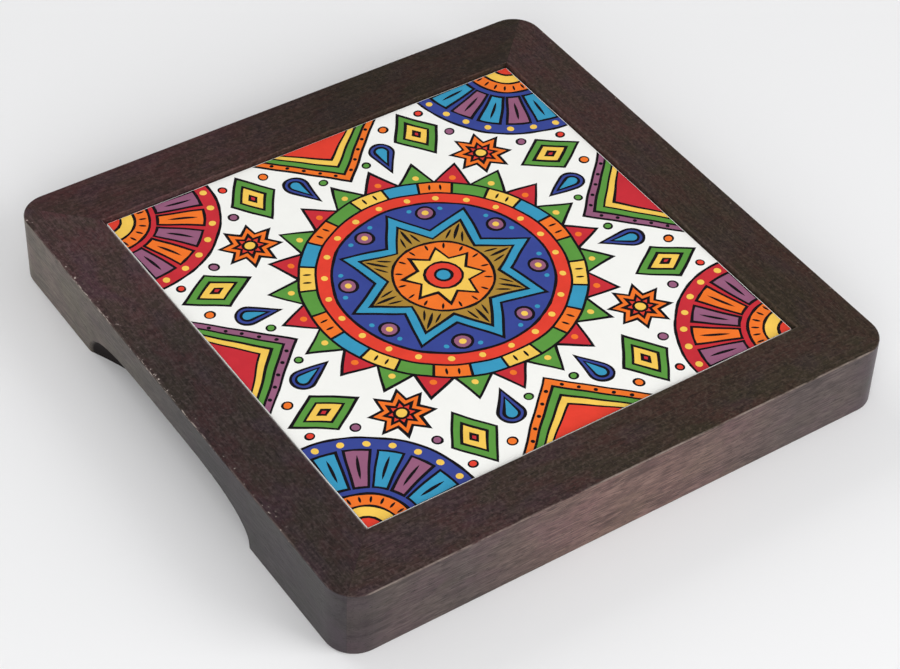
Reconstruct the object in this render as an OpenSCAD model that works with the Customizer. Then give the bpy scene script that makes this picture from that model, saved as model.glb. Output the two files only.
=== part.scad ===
// Tile trivet: a glazed tile bonded to a thin panel, which is held in the ploughed grooves of a
// mitred hardwood frame. Loose keys cross the mitres, and the two side rails are scooped for fingers.
// +X runs along the front rail, +Y towards the back rail and +Z up. The origin is at the middle of
// the underside.

/* [Tile] */
// Side of the square tile
tile_w = 150; // [100:1:200]
// Thickness of the tile
tile_t = 5; // [4:0.5:8]
// Radius of the tile's corners, seen from above
tile_corner_r = 0.8; // [0.6:0.1:4]
// Radius of the glazed upper edge
tile_arris_r = 0.3; // [0.2:0.1:0.6]
// Depth of the tile's face below the top of the frame
tile_recess = 1.4; // [0.6:0.1:3]
// Gap between the tile and the rails, on each side
tile_gap = 0.75; // [0.3:0.05:1.5]

/* [Tile back] */
// Distance from one moulded channel to the next
channel_pitch = 12; // [8:0.5:20]
// Width of a channel
channel_w = 4; // [2:0.5:6]
// Depth of a channel
channel_depth = 0.5; // [0.3:0.1:1]
// Plain border round the channels
channel_border = 9; // [5:0.5:15]

/* [Rails] */
// Width of a rail, seen from above
rail_w = 20.25; // [18:0.25:30]
// Height of a rail
rail_h = 24; // [22:0.5:30]
// Radius of the frame's corners, seen from above
corner_r = 9.5; // [5:0.5:15]
// Radius of the outer upper edge
top_arris_r = 0.5; // [0.2:0.1:2.5]
// Radius of the outer lower edge
foot_arris_r = 0.5; // [0.2:0.1:2.5]
// Radius of the inner upper edge
inner_arris_r = 0.4; // [0.2:0.1:1]

/* [Finger scoops] */
// Height of a scoop above the foot of its rail
scoop_h = 12.6; // [10:0.2:16]
// Depth of a scoop, from the outer face of its rail
scoop_depth = 11.4; // [6:0.2:13]
// Radius between the back of a scoop and its top
scoop_cove_r = 11.2; // [6:0.2:14]
// Radius of a scoop's sweep, seen from below
scoop_sweep_r = 106; // [60:1:180]
// Distance from the middle of the rail to the middle of its scoop
scoop_shift = 1.5; // [0:0.5:5]

/* [Panel] */
// Thickness of the panel
panel_t = 3; // [2:0.5:4]
// Depth of the groove that holds the panel
groove_depth = 5; // [3:0.5:7]
// Room left beyond each edge of the panel
panel_side_clear = 0.5; // [0.2:0.1:1]
// Room left above the panel in its groove
panel_top_clear = 0.15; // [0.05:0.05:0.3]

/* [Adhesive] */
// Thickness of the adhesive
adhesive_t = 0.6; // [0.4:0.1:1.2]
// Diameter of a dab of adhesive
dab_d = 27; // [15:1:30]
// Dabs along each side of the tile
dab_rows = 3; // [2:1:4]

/* [Mitre keys] */
// Length of a key across the mitre
key_l = 10; // [8:0.5:13]
// Width of a key along the mitre
key_w = 9; // [6:0.5:10]
// Thickness of a key
key_t = 3; // [2:0.5:4]
// Room left round a key in its slot
key_clear = 0.1; // [0.05:0.05:0.2]

/* [Hidden] */
$fn = 96;

// Overrun of the cuts
over = 1;

// Turns that carry the front rail to its place on each side of the square frame
front_turn = 0;
right_turn = 90;
back_turn = 180;
left_turn = 270;

opening_w = tile_w + 2 * tile_gap;
frame_w = opening_w + 2 * rail_w;
tile_z = rail_h - tile_recess - tile_t;
adhesive_z = tile_z - adhesive_t;
panel_z = adhesive_z - panel_t;
panel_w = opening_w + 2 * (groove_depth - panel_side_clear);
scoop_top_r = min(scoop_cove_r, scoop_h);
corner_centre = frame_w / 2 - corner_r;
key_z = (panel_z - key_t) / 2;
// Half-way between the panel groove's corner and the frame's rounded corner, along the mitre
key_centre = (opening_w / 2 + corner_centre) * sqrt(2) / 2 + corner_r / 2;
dab_pitch = tile_w / dab_rows;
channel_l = tile_w - 2 * channel_border;
channel_count = floor((channel_l - channel_w) / channel_pitch) + 1;

wood = "#43332f";
key_wood = "#c9a775";
panel_wood = "#a98558";
adhesive_grey = "#b9b4a6";
glaze_white = "#ecebe8";

module quarter_round(r) {
    intersection() {
        circle(r);
        square(2 * r);
    }
}

// A w by h rectangle with eased corners. The radii run anticlockwise from the origin.
module eased_rectangle(w, h, radii) {
    corners = [[0, 0], [w, 0], [w, h], [0, h]];
    inward = [[1, 1], [-1, 1], [-1, -1], [1, -1]];
    difference() {
        square([w, h]);
        for (i = [0 : 3])
            if (radii[i] > 0) translate(corners[i]) square(2 * radii[i], center = true);
    }
    for (i = [0 : 3])
        if (radii[i] > 0)
            translate(corners[i] + radii[i] * inward[i]) rotate(180 + 90 * i) quarter_round(radii[i]);
}

// Carries a section drawn in depth from the outer face and height along +X, for a length l.
module run_along_x(l) {
    translate([-l / 2, 0, 0]) rotate([90, 0, 90]) linear_extrude(l) children();
}

// Turns the outer r of such a section about a corner's centre, through an angle that starts at -90.
module turn_corner(r, h, angle) {
    rotate([0, 0, -90]) rotate_extrude(angle = angle) intersection() {
        translate([r, 0]) mirror([1, 0]) children();
        square([r, h]);
    }
}

// The moulding: eased edges outside, and a groove for the panel in the inner face.
module rail_section() {
    difference() {
        eased_rectangle(rail_w, rail_h, [foot_arris_r, 0, inner_arris_r, top_arris_r]);
        translate([rail_w - groove_depth, panel_z])
            square([groove_depth + over, panel_t + panel_top_clear]);
    }
}

// Everything between the two mitres of the front rail.
module mitre_wedge() {
    translate([0, 0, -over]) linear_extrude(rail_h + 2 * over)
        polygon([[0, 0], [-frame_w, -frame_w], [frame_w, -frame_w]]);
}

// The cutter that makes a scoop: its radius, and its height above the foot of the rail.
module scoop_cutter_section() {
    flank_h = scoop_h - scoop_top_r;
    translate([0, -over]) square([scoop_sweep_r, over + flank_h]);
    square([scoop_sweep_r - scoop_top_r, scoop_h]);
    translate([scoop_sweep_r - scoop_top_r, flank_h]) quarter_round(scoop_top_r);
}

// The cutter turns about an upright axis outside the frame, so a scoop fades out towards its ends.
module finger_scoop() {
    translate([-scoop_shift, scoop_depth - scoop_sweep_r - frame_w / 2, 0])
        rotate_extrude() scoop_cutter_section();
}

// A block that lies across the mitre at the front right corner, with some room all round.
module key_block(room) {
    translate([0, 0, key_z - room]) rotate([0, 0, -45]) translate([key_centre, 0, 0])
        linear_extrude(key_t + 2 * room) square([key_w + 2 * room, key_l + 2 * room], center = true);
}

module front_rail_blank() {
    intersection() {
        translate([0, -frame_w / 2, 0]) run_along_x(2 * corner_centre) rail_section();
        mitre_wedge();
    }
    for (side = [0, 1]) mirror([side, 0, 0]) translate([corner_centre, -corner_centre, 0])
        turn_corner(corner_r, rail_h, 45) rail_section();
}

module rail(turn, scooped) {
    color(wood) rotate([0, 0, turn]) difference() {
        front_rail_blank();
        for (side = [0, 1]) mirror([side, 0, 0]) key_block(key_clear);
        if (scooped) finger_scoop();
    }
}

module mitre_key(turn) {
    color(key_wood) rotate([0, 0, turn]) key_block(0);
}

module base_panel() {
    color(panel_wood) translate([-panel_w / 2, -panel_w / 2, panel_z]) cube([panel_w, panel_w, panel_t]);
}

module tile_adhesive() {
    reach = (dab_rows - 1) / 2;
    color(adhesive_grey) for (i = [-reach : reach], j = [-reach : reach])
        translate([i * dab_pitch, j * dab_pitch, adhesive_z]) cylinder(d = dab_d, h = adhesive_t);
}

module tile_edge_section() {
    eased_rectangle(tile_corner_r, tile_t, [0, 0, 0, tile_arris_r]);
}

module tile_body() {
    inner_w = tile_w - 2 * tile_corner_r;
    translate([-inner_w / 2, -inner_w / 2, 0]) cube([inner_w, inner_w, tile_t]);
    for (turn = [front_turn, right_turn, back_turn, left_turn]) rotate([0, 0, turn]) {
        translate([0, -tile_w / 2, 0]) run_along_x(inner_w) tile_edge_section();
        translate([inner_w / 2, -inner_w / 2, 0]) turn_corner(tile_corner_r, tile_t, 90) tile_edge_section();
    }
}

// The channels that the press leaves in the back, so that the adhesive can grip.
module tile_channels() {
    for (i = [0 : channel_count - 1])
        translate([-channel_l / 2, (i - (channel_count - 1) / 2) * channel_pitch - channel_w / 2, -over])
            cube([channel_l, channel_w, channel_depth + over]);
}

module tile() {
    color(glaze_white) translate([0, 0, tile_z]) difference() {
        tile_body();
        tile_channels();
    }
}

rail(front_turn, false);  // front_rail
rail(right_turn, true);  // right_rail
rail(back_turn, false);  // back_rail
rail(left_turn, true);  // left_rail
mitre_key(left_turn);  // front_left_key
mitre_key(front_turn);  // front_right_key
mitre_key(right_turn);  // back_right_key
mitre_key(back_turn);  // back_left_key
base_panel();
tile_adhesive();
tile();
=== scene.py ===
"""A tile trivet: a glazed tile with a painted geometric pattern, in a dark stained hardwood frame."""

import math
import bpy
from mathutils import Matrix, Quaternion, Vector
from mathutils.geometry import delaunay_2d_cdt


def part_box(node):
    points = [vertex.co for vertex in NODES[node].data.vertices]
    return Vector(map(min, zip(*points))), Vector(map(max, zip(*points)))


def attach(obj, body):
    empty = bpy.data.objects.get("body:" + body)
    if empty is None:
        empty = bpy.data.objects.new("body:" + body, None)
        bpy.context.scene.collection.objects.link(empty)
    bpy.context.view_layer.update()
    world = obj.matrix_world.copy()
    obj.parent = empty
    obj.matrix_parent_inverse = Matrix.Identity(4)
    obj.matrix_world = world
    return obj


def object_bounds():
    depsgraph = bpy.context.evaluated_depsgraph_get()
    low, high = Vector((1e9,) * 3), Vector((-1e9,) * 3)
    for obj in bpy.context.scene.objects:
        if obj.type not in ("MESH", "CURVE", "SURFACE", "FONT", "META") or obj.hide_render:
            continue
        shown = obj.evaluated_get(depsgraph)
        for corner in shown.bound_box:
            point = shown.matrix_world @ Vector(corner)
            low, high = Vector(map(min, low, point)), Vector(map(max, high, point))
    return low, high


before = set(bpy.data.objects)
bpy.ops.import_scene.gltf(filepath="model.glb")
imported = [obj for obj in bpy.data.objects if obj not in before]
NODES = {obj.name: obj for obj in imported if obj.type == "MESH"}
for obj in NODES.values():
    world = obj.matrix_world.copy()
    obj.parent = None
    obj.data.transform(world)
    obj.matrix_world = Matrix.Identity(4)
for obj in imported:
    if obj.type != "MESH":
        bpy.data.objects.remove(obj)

CAD_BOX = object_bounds()
MM = 0.001
FRAME_OUT = CAD_BOX[1][0]
FRAME_TOP = CAD_BOX[1][2]
TILE_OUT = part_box("tile")[1].x
TILE_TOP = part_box("tile")[1].z

# Camera: a plain lens, at the photograph's distance and angle
CAMERA_PLACE = (-0.33184, -0.47212, 0.54325)
CAMERA_AZIMUTH = -35.367
CAMERA_ELEVATION = 43.364
CAMERA_ROLL = 2.252
LENS_MM = 102.624
SENSOR_MM = 36.0


def make_camera():
    data = bpy.data.cameras.new("camera")
    data.lens = LENS_MM
    data.sensor_width = SENSOR_MM
    camera = bpy.data.objects.new("camera", data)
    bpy.context.scene.collection.objects.link(camera)
    around, up = math.radians(CAMERA_AZIMUTH), math.radians(CAMERA_ELEVATION)
    back = Vector((math.sin(around) * math.cos(up), -math.cos(around) * math.cos(up), math.sin(up)))
    roll = Quaternion((0, 0, 1), math.radians(CAMERA_ROLL))
    camera.location = CAMERA_PLACE
    camera.rotation_mode = "QUATERNION"
    camera.rotation_quaternion = (-back).to_track_quat("-Z", "Y") @ roll
    bpy.context.scene.camera = camera


def linear(red, green, blue):
    """A screen colour, 0 to 255 a channel, as Blender's linear colour."""
    def channel(c):
        c /= 255
        return c / 12.92 if c <= 0.04045 else ((c + 0.055) / 1.055) ** 2.4
    return (channel(red), channel(green), channel(blue), 1.0)


def scaled(lengths):
    """Millimetres as metres."""
    return [length * MM for length in lengths]


class Finish:
    """A material, with short calls for the nodes that the finishes share. Lengths are in metres."""

    def __init__(self, name):
        self.material = bpy.data.materials.new(name)
        self.material.use_nodes = True
        self.tree = self.material.node_tree
        self.shader = self.tree.nodes["Principled BSDF"]
        self.place = self.node("TexCoord").outputs["Object"]

    def node(self, kind, **settings):
        made = self.tree.nodes.new("ShaderNode" + kind)
        for key, value in settings.items():
            setattr(made, key, value)
        return made

    def put(self, socket, value):
        if isinstance(value, bpy.types.NodeSocket):
            self.tree.links.new(value, socket)
        else:
            socket.default_value = value

    def set(self, name, value):
        self.put(self.shader.inputs[name], value)

    def calc(self, operation, a, b=0.0):
        made = self.node("Math", operation=operation)
        self.put(made.inputs[0], a)
        self.put(made.inputs[1], b)
        return made.outputs[0]

    def product(self, *values):
        result = values[0]
        for value in values[1:]:
            result = self.calc("MULTIPLY", result, value)
        return result

    def axes(self, vector):
        made = self.node("SeparateXYZ")
        self.put(made.inputs[0], vector)
        return made.outputs

    def noise(self, sizes, detail=2.0, roughness=0.5, shift=(0, 0, 0)):
        """Noise whose features have these sizes along the three axes."""
        mapping = self.node("Mapping")
        self.put(mapping.inputs["Vector"], self.place)
        mapping.inputs["Scale"].default_value = [1 / size for size in sizes]
        mapping.inputs["Location"].default_value = shift
        made = self.node("TexNoise")
        self.put(made.inputs["Vector"], mapping.outputs[0])
        made.inputs["Scale"].default_value = 1.0
        made.inputs["Detail"].default_value = detail
        made.inputs["Roughness"].default_value = roughness
        return made.outputs["Fac"]

    def between(self, value, low, high, to_low=0.0, to_high=1.0):
        made = self.node("MapRange", clamp=True)
        for socket, number in zip(made.inputs, (value, low, high, to_low, to_high)):
            self.put(socket, number)
        return made.outputs[0]

    def mix(self, share, a, b, how="MIX"):
        made = self.node("Mix", data_type="RGBA", blend_type=how)
        self.put(made.inputs["Factor"], share)
        self.put(made.inputs[6], a)
        self.put(made.inputs[7], b)
        return made.outputs[2]

    def tinted(self, colour, tint, share=1.0):
        return self.mix(share, colour, tint, "MULTIPLY")

    def bump(self, height, depth, strength=1.0, under=None):
        made = self.node("Bump")
        made.inputs["Strength"].default_value = strength
        made.inputs["Distance"].default_value = depth
        self.put(made.inputs["Height"], height)
        if under is not None:
            self.put(made.inputs["Normal"], under)
        return made.outputs["Normal"]


# The range that most of a noise's values lie in
NOISE_SPAN = (0.3, 0.7)

# The grains of wood: length along the board and width across it in millimetres, detail, roughness, and 1
# or -1 for the order in which a board's shift is applied
GRAINS = {
    "patch": (18, 11, 3, 0.6, 1),
    "hue": (14, 9, 2, 0.5, -1),
    "figure": (60, 3.5, 4, 0.6, 1),
    "fibre": (10, 0.5, 2, 0.6, 1),
    "dash": (5, 0.5, 2, 0.5, 1),
    "fleck": (1.9, 0.9, 2, 0.6, 1),
    "speck": (1.1, 1.1, 2, 0.6, 1),
    "mottle": (4, 2.2, 3, 0.6, -1),
    "pore": (2.4, 0.35, 1, 0.5, -1),
    "glint": (16, 10, 4, 0.7, -1),
    "rub": (2.5, 0.5, 3, 0.7, 1),
    "nick": (1.1, 1.1, 1, 0.5, 1),
    "board": (120, 9, 4, 0.65, 1),
    "streak": (30, 0.8, 3, 0.6, 1),
}

# The stained wood's colours; the sides' are paler than the tops' as painted sheen
TOP_OLIVE = linear(54, 45, 38)
TOP_RED = linear(64, 42, 41)
TOP_PURPLE = linear(58, 44, 50)
TOP_DARK = linear(36, 27, 25)
TOP_SPECK = linear(86, 70, 67)
SIDE_DARK = linear(74, 58, 52)
SIDE_LIGHT = linear(106, 87, 78)
SIDE_RED = linear(112, 84, 82)
SIDE_OLIVE = linear(102, 88, 72)
SIDE_FIBRE = linear(130, 109, 97)
SIDE_DASH = linear(62, 47, 43)
WALL_TINT = (1.60, 1.65, 1.65, 1.0)
SCOOP_GRAIN_AND_SHADE = linear(30, 25, 25)
PORE = linear(20, 15, 15)
ARRIS_HIGHLIGHT = linear(140, 127, 119)
WORN = linear(176, 164, 155)

# Colours laid over each other: the grain that one follows, the values between which it comes in, how
# fully it covers, and the colour
TOP_LAYERS = [
    ("patch", 0.42, 0.58, 1.00, TOP_RED),
    ("hue", 0.50, 0.62, 0.55, TOP_PURPLE),
    ("figure", 0.45, 0.70, 0.35, TOP_DARK),
    ("fleck", 0.48, 0.62, 0.60, TOP_DARK),
    ("fibre", 0.50, 0.64, 0.25, TOP_SPECK),
    ("speck", 0.50, 0.64, 0.45, TOP_SPECK),
]
SIDE_LAYERS = [
    ("figure", 0.38, 0.60, 1.00, SIDE_LIGHT),
    ("patch", 0.44, 0.60, 0.60, SIDE_RED),
    ("hue", 0.48, 0.62, 0.50, SIDE_OLIVE),
]
SIDE_GRAIN_LAYERS = [
    ("fibre", 0.47, 0.60, 0.70, SIDE_FIBRE),
    ("dash", 0.52, 0.60, 0.60, SIDE_DASH),
    ("mottle", 0.50, 0.62, 0.25, SIDE_DARK),
]

# The upward part of a normal: up to the first value a surface is a side, and from the second a top
LEVEL_NORMAL = (0.35, 0.75)

# Pores: the values of their grain between which they open, how dark they are and how deep, and the relief
# of the fibres between them
PORE_LEVEL = (0.62, 0.70)
PORE_COVER = 0.5
PORE_DEPTH = 0.02 * MM
FIBRE_DEPTH = 0.01 * MM
FIBRE_STRENGTH = 0.4

# The line that the glue makes at a mitre: half its width, and how dark it is
MITRE_LINE = 0.15 * MM
MITRE_COVER = 0.3

# The oil finish, and the dull end grain in a scoop
WOOD_ROUGHNESS = (0.36, 0.44)
WOOD_SPECULAR = 0.25
SCOOP_ROUGHNESS = 0.9

# Where the upper outer arris of the frame begins, which carries wear and a painted highlight
ARRIS_OUT = FRAME_OUT - 0.45 * MM
ARRIS_UP = FRAME_TOP - 0.45 * MM
ARRIS_FADE = 0.15 * MM

# Wear, and the painted highlight along the arris: the values of each grain between which it comes in, how
# far it reaches, and how fully it covers in its most worn stretch and elsewhere
GLINT_LEVEL = (0.40, 0.58)
RUB_LEVEL = (0.52, 0.62)
RUB_REACH = (30 * MM, 60 * MM)
RUB_COVER = (0.8, 0.12)
NICK_LEVEL = (0.71, 0.75)
NICK_REACH = (FRAME_OUT - 3.0 * MM, FRAME_OUT - 0.5 * MM)

# Where a side turns the corner, and how much of its grain shows there
CORNER_REACH = (80 * MM, 89 * MM)
CORNER_GRAIN = 0.25

# Where the inner walls of the rails end and their tops begin
TILE_GAP = 0.75 * MM
WALL_SKIN = (TILE_OUT + TILE_GAP + 0.2 * MM, TILE_OUT + TILE_GAP + 0.5 * MM)

# Where a scoop's hollow begins: behind the outer face, below its top and between its ends
SCOOP_SKIN = (FRAME_OUT - 0.8 * MM, FRAME_OUT - 0.1 * MM)
SCOOP_TOP = (13 * MM, 14 * MM)
SCOOP_END = (50 * MM, 60 * MM)

# Each rail, with places along it in millimetres: the axis of its grain, where its side carries the most
# painted sheen and how far that reaches, where its arris is most worn, how strong the painted highlight on
# its arris is and how far it is nicked, where its top drifts from one tint to another, and tints of its side
# (its tone with painted sheen), of the side's painted shade and of that painted shade round the corners
RAIL_LOOKS = {
    "front": {
        "axis": 0, "sheen_at": 2, "sheen_reach": (12, 58), "worn_at": -150, "highlight_share": 0.60, "nicked": 0.0,
        "top_drift": (-50, 20), "top_tints": ((1.12, 1.14, 1.18, 1), (0.97, 1.05, 0.87, 1)),
        "side_tone_and_sheen": (0.98, 0.88, 0.95, 1), "painted_shade_tint": (0.54, 0.67, 0.73, 1),
        "corner_shade_tint": (0.76, 0.77, 0.87, 1),
    },
    "right": {
        "axis": 1, "sheen_at": 20, "sheen_reach": (18, 64), "worn_at": 35, "highlight_share": 0.15, "nicked": 0.6,
        "top_drift": (-10, 30), "top_tints": ((0.90, 0.94, 0.77, 1), (1.02, 0.96, 0.90, 1)),
        "side_tone_and_sheen": (0.96, 0.96, 0.98, 1), "painted_shade_tint": (0.56, 0.64, 0.74, 1),
        "corner_shade_tint": (0.76, 0.77, 0.87, 1),
    },
    "back": {
        "axis": 0, "sheen_at": -106, "sheen_reach": (14, 110), "worn_at": 20, "highlight_share": 0.15, "nicked": 0.0,
        "top_drift": (-30, 15), "top_tints": ((1.05, 0.84, 0.88, 1), (0.62, 0.62, 0.50, 1)),
        "side_tone_and_sheen": (0.98, 1.10, 1.08, 1), "painted_shade_tint": (0.52, 0.52, 0.60, 1),
        "corner_shade_tint": (0.80, 0.84, 0.96, 1),
    },
    "left": {
        "axis": 1, "sheen_at": 106, "sheen_reach": (14, 128), "worn_at": 20, "highlight_share": 0.20, "nicked": 1.0,
        "top_drift": (15, 40), "top_tints": ((0.90, 0.97, 1.03, 1), (1.36, 1.24, 1.36, 1)),
        "side_tone_and_sheen": (1.02, 1.25, 1.20, 1), "painted_shade_tint": (0.285, 0.305, 0.41, 1),
        "corner_shade_tint": (1.10, 1.06, 1.11, 1),
    },
}

# How far the grain of one rail is shifted against that of the next, in sizes of its features
RAIL_SHIFT = (3.7, 5.1, 2.3)


class Wood(Finish):
    """A finish whose grain runs along one axis: 0 for X and 1 for Y."""

    def __init__(self, name, axis, shift=(0, 0, 0)):
        super().__init__(name)
        self.axis = axis
        self.shift = shift
        self.grains = {}

    def grain(self, name):
        """The noise of one of the grains, which is made when it is first asked for."""
        if name not in self.grains:
            length, across, detail, roughness, order = GRAINS[name]
            sizes = scaled(length if i == self.axis else across for i in range(3))
            self.grains[name] = self.noise(sizes, detail, roughness, self.shift[::order])
        return self.grains[name]

    def layered(self, colour, layers, share=None):
        """Colours laid over a first one, each where its grain is high, and only to a share if given."""
        for grain, low, high, cover, tint in layers:
            where = self.between(self.grain(grain), low, high, 0, cover)
            if share is not None:
                where = self.product(share, where)
            colour = self.mix(where, colour, tint)
        return colour


class StainedWood(Wood):
    """Dark stained hardwood under a thin satin oil finish, for one rail of the frame."""

    def __init__(self, name, shift, looks):
        super().__init__(name, looks["axis"], shift)
        self.looks = looks
        x, y, self.height = self.axes(self.place)
        self.lengthwise = (x, y)[self.axis]
        far_x, far_y = self.calc("ABSOLUTE", x), self.calc("ABSOLUTE", y)
        self.outer = self.calc("MAXIMUM", far_x, far_y)
        self.inner = self.calc("MINIMUM", far_x, far_y)
        self.from_mitre = self.calc("ABSOLUTE", self.calc("SUBTRACT", far_x, far_y))

    def distance_from(self, place):
        """How far a point lies, along the rail, from a place in millimetres."""
        return self.calc("ABSOLUTE", self.calc("SUBTRACT", self.lengthwise, place * MM))

    def top_colour(self):
        """The tops are darker than the sides, whose paler colour is painted sheen, and show reddish, olive
        and purplish patches.
        """
        drift = self.between(self.lengthwise, *scaled(self.looks["top_drift"]))
        return self.tinted(self.layered(TOP_OLIVE, TOP_LAYERS), self.mix(drift, *self.looks["top_tints"]))

    def side_colour(self):
        """The sides are painted paler than the tops as sheen, with a grain that fades where it turns the
        corner.
        """
        straight = self.between(self.inner, *CORNER_REACH, 1, CORNER_GRAIN)
        colour = self.layered(SIDE_DARK, SIDE_LAYERS)
        colour = self.layered(colour, SIDE_GRAIN_LAYERS, straight)
        colour = self.tinted(colour, self.looks["side_tone_and_sheen"])

        # Painted shade: away from its stretch with the most painted sheen a side is darker and greyer, and
        # it changes again round the corner
        from_most_sheen = self.distance_from(self.looks["sheen_at"])
        shaded = self.between(from_most_sheen, *scaled(self.looks["sheen_reach"]))
        colour = self.tinted(colour, self.looks["painted_shade_tint"], shaded)
        round_corner = self.product(shaded, self.between(self.inner, *CORNER_REACH))
        return self.tinted(colour, self.looks["corner_shade_tint"], round_corner)

    def sawn_colour(self):
        """The tops, the sides, and the walls round the tile, which are nearly as dark as the tops."""
        upward = self.axes(self.node("TexCoord").outputs["Normal"])[2]
        level = self.between(self.calc("ABSOLUTE", upward), *LEVEL_NORMAL)
        wall = self.between(self.outer, *WALL_SKIN, 1, 0)
        # Sides are told from tops by the way they face; the sides' paler colour is painted sheen
        colour = self.mix(self.calc("MAXIMUM", level, wall), self.side_colour(), self.top_colour())
        return self.tinted(colour, WALL_TINT, wall)

    def in_scoop(self):
        """Where the hollow of a scoop is, painted dark partly as the shade in the hollow and partly for its
        darker end grain, and with no sheen.
        """
        behind = self.between(self.outer, *SCOOP_SKIN, 1, 0)
        below = self.between(self.height, *SCOOP_TOP, 1, 0)
        amid = self.between(self.inner, *SCOOP_END, 1, 0)
        return self.product(behind, below, amid)

    def wear_and_highlight(self, colour):
        """A painted highlight and wear on the upper outer arris, and nicks beside it."""
        high = self.between(self.height, ARRIS_UP, ARRIS_UP + ARRIS_FADE)
        arris = self.product(high, self.between(self.outer, ARRIS_OUT, ARRIS_OUT + ARRIS_FADE))
        # A painted highlight along the arris, broken where the glint grain is low
        glint = self.product(arris, self.between(self.grain("glint"), *GLINT_LEVEL), self.looks["highlight_share"])
        colour = self.mix(glint, colour, ARRIS_HIGHLIGHT)
        rubbed = self.between(self.grain("rub"), *RUB_LEVEL)
        from_most = self.distance_from(self.looks["worn_at"])
        rubbed = self.product(arris, rubbed, self.between(from_most, *RUB_REACH, *RUB_COVER))
        nicks = self.product(self.between(self.grain("nick"), *NICK_LEVEL), high)
        nicks = self.product(nicks, self.between(self.outer, *NICK_REACH, 0, self.looks["nicked"]))
        return self.mix(self.calc("MAXIMUM", rubbed, nicks), colour, WORN)

    def finished(self):
        pores = self.between(self.grain("pore"), *PORE_LEVEL)
        mitre = self.between(self.from_mitre, 0, MITRE_LINE, MITRE_COVER, 0)
        scoop = self.in_scoop()
        colour = self.mix(self.product(pores, PORE_COVER), self.sawn_colour(), PORE)
        colour = self.mix(mitre, colour, PORE)
        # Painted shade in the scoop's hollow, together with its darker end grain
        colour = self.mix(scoop, colour, SCOOP_GRAIN_AND_SHADE)
        self.set("Base Color", self.wear_and_highlight(colour))
        oiled = self.between(self.grain("figure"), *NOISE_SPAN, *WOOD_ROUGHNESS)
        self.set("Roughness", self.calc("MAXIMUM", oiled, self.product(scoop, SCOOP_ROUGHNESS)))
        self.set("Specular IOR Level", WOOD_SPECULAR)
        fine = self.bump(self.calc("SUBTRACT", 1.0, pores), PORE_DEPTH)
        self.set("Normal", self.bump(self.grain("fibre"), FIBRE_DEPTH, FIBRE_STRENGTH, fine))
        return self.material


# Unstained wood: its colours, and how rough and how deep its grain is
KEY_DARK, KEY_LIGHT = linear(176, 140, 96), linear(206, 172, 124)
PLYWOOD_DARK, PLYWOOD_LIGHT = linear(150, 112, 72), linear(186, 148, 104)
RAW_ROUGHNESS = (0.62, 0.75)
STREAK_DEPTH = 0.04 * MM
STREAK_STRENGTH = 0.6


def plain_wood(name, dark, light):
    """Unstained wood or veneer, with its grain along X."""
    f = Wood(name, 0)
    layers = [("board", 0.35, 0.65, 1.0, light), ("streak", 0.5, 0.75, 0.5, dark)]
    f.set("Base Color", f.layered(dark, layers))
    f.set("Roughness", f.between(f.grain("board"), *NOISE_SPAN, *RAW_ROUGHNESS))
    f.set("Normal", f.bump(f.grain("streak"), STREAK_DEPTH, STREAK_STRENGTH))
    return f.material


# The adhesive: its colours, the size and depth of its lumps, and its roughness
ADHESIVE_DARK, ADHESIVE_LIGHT = linear(170, 164, 150), linear(205, 199, 184)
LUMP_SIZES = scaled((2, 2, 2))
LUMP_DEPTH = 0.2 * MM
LUMP_STRENGTH = 0.6
ADHESIVE_ROUGHNESS = (0.5, 0.7)


def adhesive_finish():
    f = Finish("adhesive")
    lumps = f.noise(LUMP_SIZES, detail=3)
    f.set("Base Color", f.mix(lumps, ADHESIVE_DARK, ADHESIVE_LIGHT))
    f.set("Roughness", f.between(lumps, *NOISE_SPAN, *ADHESIVE_ROUGHNESS))
    f.set("Normal", f.bump(lumps, LUMP_DEPTH, LUMP_STRENGTH))
    return f.material


# The glaze: where it pooled thicker, how rough it is, its slow waves, and how much its colours vary
POOL_SIZES = scaled((6, 6, 6))
GLAZE_ROUGHNESS = (0.09, 0.14)
WAVE_SIZES = scaled((14, 14, 14))
WAVE_DEPTH = 0.12 * MM
WAVE_STRENGTH = 0.35
COLOUR_VARIATION = 0.06
WHITE_VARIATION = 0.012


def glaze(name, colour, variation=COLOUR_VARIATION):
    """A fired glaze colour: glossy, a little wavy, and thicker here and there."""
    f = Finish(name)
    pooled = f.noise(POOL_SIZES, detail=3, roughness=0.6)
    thin = tuple(min(1.0, c * (1 + variation)) for c in colour[:3]) + (1.0,)
    thick = tuple(c * (1 - variation) for c in colour[:3]) + (1.0,)
    f.set("Base Color", f.mix(f.between(pooled, *NOISE_SPAN), thick, thin))
    f.set("Roughness", f.between(pooled, *NOISE_SPAN, *GLAZE_ROUGHNESS))
    f.set("Normal", f.bump(f.noise(WAVE_SIZES), WAVE_DEPTH, WAVE_STRENGTH))
    return f.material


def dress(node, material):
    """Puts one material on a CAD node."""
    slots = NODES[node].data.materials
    slots.clear()
    slots.append(material)


def dress_frame():
    for i, (side, looks) in enumerate(RAIL_LOOKS.items()):
        shift = tuple(i * step for step in RAIL_SHIFT)
        dress(side + "_rail", StainedWood("stained_wood_" + side, shift, looks).finished())
    key_wood = plain_wood("key_wood", KEY_DARK, KEY_LIGHT)
    for corner in ("front_left", "front_right", "back_right", "back_left"):
        dress(corner + "_key", key_wood)
    dress("base_panel", plain_wood("plywood", PLYWOOD_DARK, PLYWOOD_LIGHT))
    dress("tile_adhesive", adhesive_finish())


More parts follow.
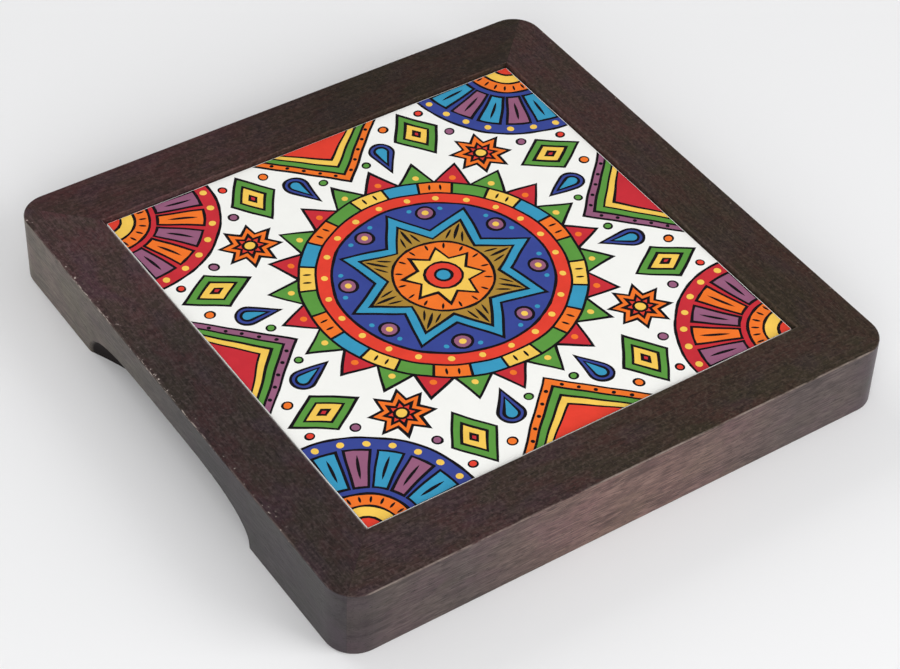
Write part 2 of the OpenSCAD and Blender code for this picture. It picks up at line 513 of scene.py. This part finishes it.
# The pattern's colours
COLOURS = {
    "black": linear(24, 20, 24),
    "white": linear(246, 246, 242),
    "orange": linear(243, 119, 43),
    "yellow": linear(246, 202, 89),
    "red": linear(228, 66, 50),
    "crimson": linear(200, 48, 58),
    "green": linear(92, 152, 66),
    "cobalt": linear(58, 72, 148),
    "sky": linear(58, 152, 190),
    "ochre": linear(172, 134, 56),
    "mauve": linear(150, 94, 124),
}

# The pattern's sizes are in millimetres, from the middle of the tile, and its angles in degrees.
# Its lines, the thickness of a coat and how far the lowest coat is sunk in the glaze
LINE = 0.90
THIN_LINE = 0.6
LINE_UNEVEN = 0.10
RELIEF = 0.012
SINK = 0.05

# How far the glazed face reaches: to its edges, and to the sum of x and y at its rounded corners
EDGE = 74.6
CORNER_SUM = 149.0

# How far a painted line wavers, in slow waves and in fine ones. For each direction: the pace of the slow
# wave across it, its start, the pace of its fading along, and the paces of the fine wave along and across
WAVER = 0.22
FINE_WAVER = 0.10
WAVER_X = (0.21, 0.9, 0.13, 0.47, 0.3)
WAVER_Y = (0.19, 2.1, 0.15, 0.43, -0.35)

# The paces at which the width of a line changes: along x and y, and of its fading along y
UNEVEN_PACE = (0.9, 0.5, 0.6)

# How sharp a corner may be before its line is cut short
SHARPEST = 0.35

# The gaps between the points of a line, and when two points are one
POINT_GAP = 2.5
SAME_POINT = 0.001

# How finely curves are drawn: the fewest steps round a disc and its steps for each millimetre of radius,
# the angle of a step in a block, the fewest steps of a sector, and those of a drop's end and of a stroke
DISC_STEPS = 16
DISC_STEPS_PER_MM = 3
BLOCK_STEP = 5
SECTOR_STEPS = 4
DROP_STEPS = 18
STROKE_STEPS = 6

# How quickly a brush stroke swells: less is quicker
STROKE_POWER = 0.6

# For the triangulation: only triangles inside the outline, and its tolerance
INSIDE_ONLY = 1
TOLERANCE = 1e-6

# The medallion's teeth, and the ring of beads inside them with its two edges
TEETH = 24
TOOTH_STEP = 360 / TEETH
TOOTH_FOOT = 43.4
TOOTH = [(0.0, -5.8), (9.6, 0.0), (0.0, 5.8)]
TOOTH_COLOURS = ("green", "crimson")
RIM_RADIUS = 44.4
BEAD_EDGES = (39.2, 43.6)
BEAD_COLOURS = ("orange", "sky", "yellow", "green")
BAND_RADIUS = 38.4
FIELD_RADIUS = 34

# Half the angle of a bead, and of a fan's blade
HALF_BLOCK = 6.9

# Its eight-pointed star, with eyes between the points, and the small star in its core
POINTS = 8
POINT_STEP = 360 / POINTS
STAR_RADII = (32, 21)
STAR_INSET = 3.2
EYE_AT = 29.2
EYE_RADIUS = 2.9
CORE_RADIUS = 15.5
CORE_STAR_RADII = (12.6, 8.0)
CORE_DISCS = [(5.8, "red"), (2.5, "sky")]

# Its rings of dots: how many, how far out, radius, first angle, colours that take turns, and level
MEDALLION_DOTS = [
    (TEETH, 46.4, 1.05, TOOTH_STEP / 2, ("yellow", "orange"), 0),
    (TEETH, 36.2, 1.05, 0, ("yellow",), 1),
    (POINTS, 31.2, 0.8, POINT_STEP / 2 - 9.2, ("sky",), 2),
    (POINTS, 31.2, 0.8, POINT_STEP / 2 + 9.2, ("sky",), 2),
    (POINTS, EYE_AT, 1.1, POINT_STEP / 2, ("yellow",), 3),
]

# Its rings of brush strokes: how many, start, end, width, first angle, and level
MEDALLION_STROKES = [
    (TEETH // 2, (40.0, -1.8), (42.8, -1.8), 0.8, 0, 2),
    (TEETH // 2, (40.0, 1.8), (42.8, 1.8), 0.8, 0, 2),
    (POINTS, (16.8, 0.0), (24.6, 0.0), 1.1, 0, 4),
    (POINTS, (16.4, -2.6), (21.4, -1.7), 0.8, 0, 4),
    (POINTS, (16.4, 2.6), (21.4, 1.7), 0.8, 0, 4),
    (2 * POINTS, (12.2, 0.0), (14.9, 0.0), 0.8, POINT_STEP / 4, 5),
]

# The stepped triangle in the middle of a side: its tip, its height, half its width for each millimetre of
# that, the width of a step, its dots, and its colours, which take turns
STEP_TIP = -52.4
STEP_HEIGHT = 30
STEP_SLOPE = 1.015
STEP_INSET = 2.9
STEP_DOTS_AT = (5.4, 10.6, 15.8, 21.0, 26.2)
STEP_DOT_IN = 1.45
STEP_DOT_RADIUS = 0.65
STEP_COLOURS = [["orange", "green", "yellow", "red"], ["mauve", "green", "yellow", "crimson"]]

# The gem and the drop on a flank of a side, and loose dots: place, radius and colour
GEM_SIZE = (22.4, 15.6)
GEM_AT = (30.4, -61.4)
GEM_INSET = 2.7
GEM_COLOURS = ["green", "yellow", "crimson"]
DROP_SIZE = (14.0, 7.6)
DROP_TIP_AT = 51.2
DROP_ANGLE = -75
DROP_INSET = 1.7
DROP_COLOURS = ["cobalt", "sky"]
FLANK_DOTS = [
    (22.4, -68.6, 1.5, "orange"),
    (36.6, -69.9, 1.3, "red"),
    (8.0, -56.2, 1.3, "green"),
    (40.2, -56.8, 1.5, "mauve"),
]

# The rayed star before a corner, which lies this way from the middle of the tile
CORNER_ANGLE = -45
BURST_AT = 60.2
BURST_RADII = (9.4, 5.6)
BURST_INSET = 2.0
BURST_COLOURS = ["orange", "red"]
BURST_EYE_RADIUS = 2.1

# The fan in a corner: its middle, just beyond the corner of the tile, its radius, dots, blades with their
# veins, heart and ticks, and the colours of its ground and blades, which take turns
FAN_CENTRE = 75.6
FAN_ANGLE = 90
FAN_RADIUS = 36
FAN_DOTS = 7
FAN_DOT_AT = 33.4
FAN_DOT_RADIUS = 1.15
BLADES = 5
BLADE_EDGES = (16.8, 31.0)
VEIN = ((19.8, 0.0), (29.0, 0.0), 1.0)
FAN_HEART = [(14.4, "orange"), (9.6, "yellow"), (5.2, "red")]
FAN_TICKS = 6
FAN_TICK = ((10.8, 0.0), (13.5, 0.0), 0.8)
FAN_COLOURS = [("cobalt", "sky", "mauve"), ("crimson", "mauve", "orange")]


def turned(points, degrees):
    c, s = math.cos(math.radians(degrees)), math.sin(math.radians(degrees))
    return [(x * c - y * s, x * s + y * c) for x, y in points]


def moved(points, dx, dy):
    return [(x + dx, y + dy) for x, y in points]


def mirrored(points):
    return [(-x, y) for x, y in reversed(points)]


def arc(radius, start, end, steps):
    """Points on a circle about the origin, from one angle to another."""
    angles = [math.radians(start + (end - start) * i / steps) for i in range(steps + 1)]
    return [(radius * math.cos(a), radius * math.sin(a)) for a in angles]


def disc(radius):
    return arc(radius, 0, 360, max(DISC_STEPS, round(radius * DISC_STEPS_PER_MM)))[:-1]


def star(tips, reach, waist):
    return [arc(reach if i % 2 == 0 else waist, 180 / tips * i, 0, 1)[0] for i in range(2 * tips)]


def lozenge(length, width):
    return [(length / 2, 0), (0, width / 2), (-length / 2, 0), (0, -width / 2)]


def block(inner, outer, start, end):
    """A piece of a ring."""
    steps = max(2, round((end - start) / BLOCK_STEP))
    return arc(outer, start, end, steps) + arc(inner, end, start, steps)


def sector(radius, start, end):
    return [(0.0, 0.0)] + arc(radius, start, end, max(SECTOR_STEPS, round(radius)))


def drop(length, width):
    """A teardrop along +X with its point at the origin."""
    r = width / 2
    tip_angle = math.degrees(math.acos(r / (length - r)))
    return [(0.0, 0.0)] + moved(arc(r, tip_angle - 180, 180 - tip_angle, DROP_STEPS), length - r, 0)


def stroke(start, end, width):
    """A brush stroke: thick in its middle and pointed at both ends."""
    length = math.hypot(end[0] - start[0], end[1] - start[1])
    angle = math.degrees(math.atan2(end[1] - start[1], end[0] - start[0]))
    shares = [i / STROKE_STEPS for i in range(1, STROKE_STEPS)]
    upper = [(length * t, width / 2 * math.sin(math.pi * t) ** STROKE_POWER) for t in shares]
    outline = [(0.0, 0.0)] + [(x, -y) for x, y in upper] + [(length, 0.0)] + list(reversed(upper))
    return moved(turned(outline, angle), *start)


def ring(count, radius, points, start=0.0):
    """The same outline, at equal steps round the middle of the tile."""
    step = 360 / count
    return [turned(moved(points, radius, 0), start + step * i) for i in range(count)]


def grown(points, distance, uneven=0.0):
    """The outline moved outwards by a distance, or inwards if it is negative, a little unevenly if asked."""
    along_x, along_y, fade = UNEVEN_PACE
    result = []
    for i, (x, y) in enumerate(points):
        before, after = points[i - 1], points[(i + 1) % len(points)]
        ax, ay = x - before[0], y - before[1]
        bx, by = after[0] - x, after[1] - y
        la, lb = math.hypot(ax, ay), math.hypot(bx, by)
        nx, ny = ay / la + by / lb, -ax / la - bx / lb
        size = max(SHARPEST, (nx * nx + ny * ny) / 2)
        step = distance + uneven * math.sin(along_x * x + along_y * y) * math.cos(fade * y)
        result.append((x + step * nx / size, y + step * ny / size))
    return result


def waver(along, across, pace, start, fade, fine_along, fine_across):
    slow = WAVER * math.sin(pace * across + start) * math.cos(fade * along)
    return slow + FINE_WAVER * math.sin(fine_along * along + fine_across * across)


def hand_drawn(x, y):
    """The slight waver of a painted line, the same for all the colours that meet there."""
    return x + waver(x, y, *WAVER_X), y + waver(y, x, *WAVER_Y)


def filled_in(points):
    """The outline with more points on its long sides, so that they can waver."""
    result = []
    for i, (x, y) in enumerate(points):
        nx, ny = points[(i + 1) % len(points)]
        steps = max(1, math.ceil(math.hypot(nx - x, ny - y) / POINT_GAP))
        result += [(x + (nx - x) * k / steps, y + (ny - y) * k / steps) for k in range(steps)]
    return result


def kept_on_tile(points):
    """The outline cut off at the edges of the glazed face and across its rounded corners."""
    for i in range(8):
        angle = math.radians(45 * i)
        nx, ny = math.cos(angle), math.sin(angle)
        reach = EDGE if i % 2 == 0 else CORNER_SUM / math.sqrt(2)
        inside = [reach - x * nx - y * ny for x, y in points]
        cut = []
        for k, (x, y) in enumerate(points):
            bx, by = points[k - 1]
            here, before = inside[k], inside[k - 1]
            if (here > 0) != (before > 0):
                t = before / (before - here)
                cut.append((bx + (x - bx) * t, by + (y - by) * t))
            if here > 0:
                cut.append((x, y))
        points = [q for k, q in enumerate(cut) if math.dist(q, cut[k - 1]) > SAME_POINT]
    return points


class Pattern:
    """The painted pattern: flat colours in thin coats, the upper ones over the lower ones.

    Each level has three coats: a black line, the colour inside it, and marks on top. Level 0 lies on
    the white glaze.
    """

    def __init__(self, top):
        self.top = top / MM
        self.points = {name: [] for name in COLOURS}
        self.faces = {name: [] for name in COLOURS}

    def coat(self, points, colour, height):
        """One closed, thin solid of a colour, so many coats up."""
        outline = [Vector(p) for p in kept_on_tile([hand_drawn(x, y) for x, y in filled_in(points)])]
        n = len(outline)
        low = self.top - SINK if height <= 1 else self.top + (height - 1) * RELIEF
        high = self.top + height * RELIEF
        first = len(self.points[colour])
        for z in (low, high):
            self.points[colour] += [(p.x * MM, p.y * MM, z * MM) for p in outline]
        edges = [(i, (i + 1) % n) for i in range(n)]
        cap = delaunay_2d_cdt(outline, edges, [], INSIDE_ONLY, TOLERANCE)[2]
        faces = self.faces[colour]
        for triangle in cap:
            faces.append([first + n + i for i in triangle])
            faces.append([first + i for i in reversed(triangle)])
        for i, j in edges:
            faces.append([first + i, first + j, first + n + j, first + n + i])

    def line(self, points, level):
        self.coat(points, "black", 2 * level + 1)

    def fill(self, points, colour, level):
        self.coat(points, colour, 2 * level + 2)

    def mark(self, points, colour, level):
        """A small touch of colour with no line round it, on top of a level."""
        self.coat(points, colour, 2 * level + 3)

    def shape(self, points, colour, level, line=LINE):
        """A colour inside a black line."""
        self.line(grown(points, line / 2, LINE_UNEVEN), level)
        self.fill(grown(points, -line / 2, -LINE_UNEVEN), colour, level)

    def nest(self, points, colours, level, inset):
        """One shape inside another, each a step smaller."""
        for i, colour in enumerate(colours):
            self.shape(grown(points, -inset * i), colour, level + i)

    def finish(self):
        for colour, points in self.points.items():
            if not points:
                continue
            mesh = bpy.data.meshes.new("pattern_" + colour)
            mesh.from_pydata(points, [], self.faces[colour])
            mesh.validate()
            piece = bpy.data.objects.new("pattern_" + colour, mesh)
            bpy.context.scene.collection.objects.link(piece)
            mesh.materials.append(glaze("glaze_" + colour, COLOURS[colour]))
            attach(piece, "root")


def medallion(pattern):
    """The middle: a saw-toothed ring of beads round an eight-pointed star."""
    for i, tooth in enumerate(ring(TEETH, TOOTH_FOOT, TOOTH, TOOTH_STEP / 2)):
        pattern.shape(tooth, TOOTH_COLOURS[i % len(TOOTH_COLOURS)], 0)
    pattern.line(disc(RIM_RADIUS), 1)
    for i, bead in enumerate(ring(TEETH, 0, block(*BEAD_EDGES, -HALF_BLOCK, HALF_BLOCK))):
        pattern.fill(bead, BEAD_COLOURS[i % len(BEAD_COLOURS)], 1)
    pattern.fill(disc(BAND_RADIUS), "red", 1)
    pattern.shape(disc(FIELD_RADIUS), "cobalt", 2)
    for eye in ring(POINTS, EYE_AT, disc(EYE_RADIUS), POINT_STEP / 2):
        pattern.shape(eye, "mauve", 3)
    pattern.nest(star(POINTS, *STAR_RADII), ["sky", "ochre"], 3, STAR_INSET)
    pattern.shape(disc(CORE_RADIUS), "orange", 5)
    pattern.shape(turned(star(POINTS, *CORE_STAR_RADII), POINT_STEP / 2), "yellow", 6)
    for i, (radius, colour) in enumerate(CORE_DISCS):
        pattern.shape(disc(radius), colour, 7 + i)
    for count, at, radius, start, colours, level in MEDALLION_DOTS:
        for i, dot in enumerate(ring(count, at, disc(radius), start)):
            pattern.mark(dot, colours[i % len(colours)], level)
    for count, start, end, width, first, level in MEDALLION_STROKES:
        for line in ring(count, 0, stroke(start, end, width), first):
            pattern.mark(line, "black", level)


def side_motifs(pattern, place, colours):
    """The stepped triangle in the middle of a side, cut off by the edge of the tile."""
    foot, half_width = STEP_TIP - STEP_HEIGHT, STEP_SLOPE * STEP_HEIGHT
    triangle = [(-half_width, foot), (half_width, foot), (0, STEP_TIP)]
    pattern.nest(place(triangle), colours, 0, STEP_INSET)
    tilt = math.degrees(math.atan2(1, STEP_SLOPE))
    for x in STEP_DOTS_AT:
        dot = moved(turned(moved(disc(STEP_DOT_RADIUS), x, -STEP_DOT_IN), -tilt), 0, STEP_TIP)
        pattern.mark(place(dot), "black", 0)
        pattern.mark(place(mirrored(dot)), "black", 0)


def flank_motifs(pattern, side):
    """The gem, drop and dots on one flank of a side."""
    pattern.nest(side(moved(turned(lozenge(*GEM_SIZE), 90), *GEM_AT)), GEM_COLOURS, 0, GEM_INSET)
    tear = turned(moved(drop(*DROP_SIZE), DROP_TIP_AT, 0), DROP_ANGLE)
    pattern.nest(side(tear), DROP_COLOURS, 0, DROP_INSET)
    for x, y, radius, colour in FLANK_DOTS:
        pattern.shape(side(moved(disc(radius), x, y)), colour, 0, THIN_LINE)


def corner_motifs(pattern, place, colours):
    """The fan in a corner, with a rayed star before it."""
    rays = turned(star(POINTS, *BURST_RADII), POINT_STEP / 2)
    burst = turned(moved(rays, BURST_AT, 0), CORNER_ANGLE)
    pattern.nest(place(burst), BURST_COLOURS, 0, BURST_INSET)
    eye = turned(moved(disc(BURST_EYE_RADIUS), BURST_AT, 0), CORNER_ANGLE)
    pattern.shape(place(eye), "yellow", len(BURST_COLOURS))

    def fan(points):
        return place(moved(points, -FAN_CENTRE, -FAN_CENTRE))

    ground, *blades = colours
    pattern.shape(fan(sector(FAN_RADIUS, 0, FAN_ANGLE)), ground, 0)
    for i in range(FAN_DOTS):
        dot = turned(moved(disc(FAN_DOT_RADIUS), FAN_DOT_AT, 0), FAN_ANGLE * (i + 0.5) / FAN_DOTS)
        pattern.mark(fan(dot), "yellow", 0)
    for i in range(BLADES):
        middle = FAN_ANGLE * (i + 0.5) / BLADES
        blade = block(*BLADE_EDGES, middle - HALF_BLOCK, middle + HALF_BLOCK)
        pattern.shape(fan(blade), blades[i % len(blades)], 1)
        pattern.mark(fan(turned(stroke(*VEIN), middle)), "black", 1)
    for i, (radius, colour) in enumerate(FAN_HEART):
        pattern.shape(fan(sector(radius, 0, FAN_ANGLE)), colour, i + 1)
    for i in range(FAN_TICKS):
        tick = turned(stroke(*FAN_TICK), FAN_ANGLE * (i + 0.5) / FAN_TICKS)
        pattern.mark(fan(tick), "black", 1)


def quarter(pattern, number):
    """What repeats on each side and at each corner of the tile."""
    def place(points):
        return turned(points, 90 * number)

    side_motifs(pattern, place, STEP_COLOURS[number % len(STEP_COLOURS)])
    flank_motifs(pattern, place)
    flank_motifs(pattern, lambda points: place(mirrored(points)))
    corner_motifs(pattern, place, FAN_COLOURS[number % len(FAN_COLOURS)])


def paint_tile():
    dress("tile", glaze("glaze_body", COLOURS["white"], WHITE_VARIATION))
    pattern = Pattern(TILE_TOP)
    medallion(pattern)
    for number in range(4):
        quarter(pattern, number)
    pattern.finish()


# The floor, and the lamps that aim at the middle of the object: place, size and watts
FLOOR_REACH = 3.0
FLOOR_COLOUR = linear(240, 240, 241)
FLOOR_ROUGHNESS = 0.7
LAMPS = {
    "overhead": ((-0.1, -0.5, 1.5), 1.4, 3.0),
    "front_right": ((0.9, -1.2, 0.8), 1.0, 17.1),
    "front_left": ((-1.0, -1.2, 0.7), 1.0, 14.1),
    "back": ((-0.3, 1.5, 0.9), 1.2, 11.4),
}

# How much the room lights what is in it, and its pale backdrop, which dims from one height of view to
# another
ROOM_LIGHT = 0.354
BACKDROP = {"From Min": 0.30, "From Max": 0.48, "To Min": 0.84, "To Max": 0.065}


def make_floor():
    mesh = bpy.data.meshes.new("floor")
    corners = [(x * FLOOR_REACH, y * FLOOR_REACH, 0) for x, y in ((-1, -1), (1, -1), (1, 1), (-1, 1))]
    mesh.from_pydata(corners, [], [(0, 1, 2, 3)])
    floor = bpy.data.objects.new("floor", mesh)
    bpy.context.scene.collection.objects.link(floor)
    f = Finish("floor")
    f.set("Base Color", FLOOR_COLOUR)
    f.set("Roughness", FLOOR_ROUGHNESS)
    mesh.materials.append(f.material)


def make_lamp(name, place, size, watts):
    """A square lamp, which glossy surfaces don't mirror."""
    data = bpy.data.lights.new(name, "AREA")
    data.shape = "SQUARE"
    data.size = size
    data.energy = watts
    lamp = bpy.data.objects.new(name, data)
    lamp.visible_glossy = False
    bpy.context.scene.collection.objects.link(lamp)
    lamp.location = place
    lamp.rotation_mode = "QUATERNION"
    lamp.rotation_quaternion = (-Vector(place)).to_track_quat("-Z", "Y")


def make_world():
    """A dim room, with a pale backdrop that the camera and glossy or clear surfaces see in its place."""
    world = bpy.data.worlds.new("world")
    world.use_nodes = True
    tree = world.node_tree

    def node(kind, **settings):
        made = tree.nodes.new("ShaderNode" + kind)
        for key, value in settings.items():
            setattr(made, key, value)
        return made

    split = node("SeparateXYZ")
    tree.links.new(node("TexCoord").outputs["Generated"], split.inputs[0])
    backdrop = node("MapRange", clamp=True)
    tree.links.new(split.outputs["Z"], backdrop.inputs["Value"])
    for name, value in BACKDROP.items():
        backdrop.inputs[name].default_value = value
    path = node("LightPath")
    seen = path.outputs["Is Camera Ray"]
    for ray in ("Is Glossy Ray", "Is Transmission Ray"):
        either = node("Math", operation="MAXIMUM")
        tree.links.new(seen, either.inputs[0])
        tree.links.new(path.outputs[ray], either.inputs[1])
        seen = either.outputs[0]
    strength = node("Mix", data_type="FLOAT")
    tree.links.new(seen, strength.inputs["Factor"])
    strength.inputs[2].default_value = ROOM_LIGHT
    tree.links.new(backdrop.outputs[0], strength.inputs[3])
    background = tree.nodes["Background"]
    background.inputs["Color"].default_value = (1, 1, 1, 1)
    tree.links.new(strength.outputs[0], background.inputs["Strength"])
    bpy.context.scene.world = world


make_camera()
dress_frame()
paint_tile()
make_floor()
make_world()
for name, settings in LAMPS.items():
    make_lamp(name, *settings)
bpy.context.scene.view_settings.view_transform = "Standard"
